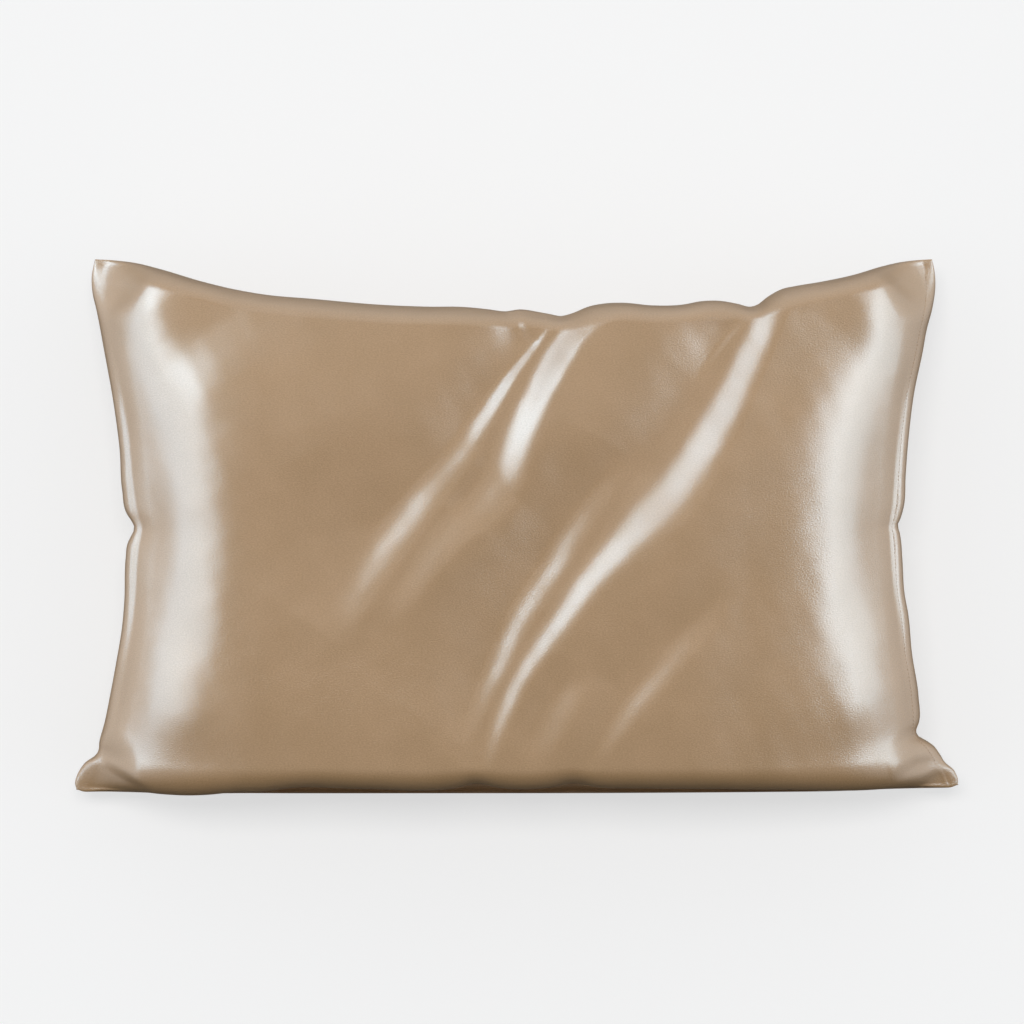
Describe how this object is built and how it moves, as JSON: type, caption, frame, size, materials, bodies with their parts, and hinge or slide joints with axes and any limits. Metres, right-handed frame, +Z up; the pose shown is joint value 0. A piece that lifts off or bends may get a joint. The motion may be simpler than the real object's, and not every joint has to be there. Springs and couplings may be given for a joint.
{
  "type": "filled satin pillowcase",
  "caption": "Plain satin pillowcase on its pillow, lying on its back: crowned face with long soft diagonal folds, drawn-in sides and flat corner ears.",
  "frame": {"origin": "centre of the outline's box, at the height of the flat patch that it rests on", "axes": "+Z up out of the face, +X along the long side towards the short end with the closure hem, +Y towards the long edge that is uppermost when the pillow stands"},
  "size_m": [0.7458, 0.4492, 0.1614],
  "materials": {
    "satin": "champagne brown satin, glossy with soft white highlights"
  },
  "bodies": {
    "root": {"pillowcase": "satin"}
  },
  "joints": []
}
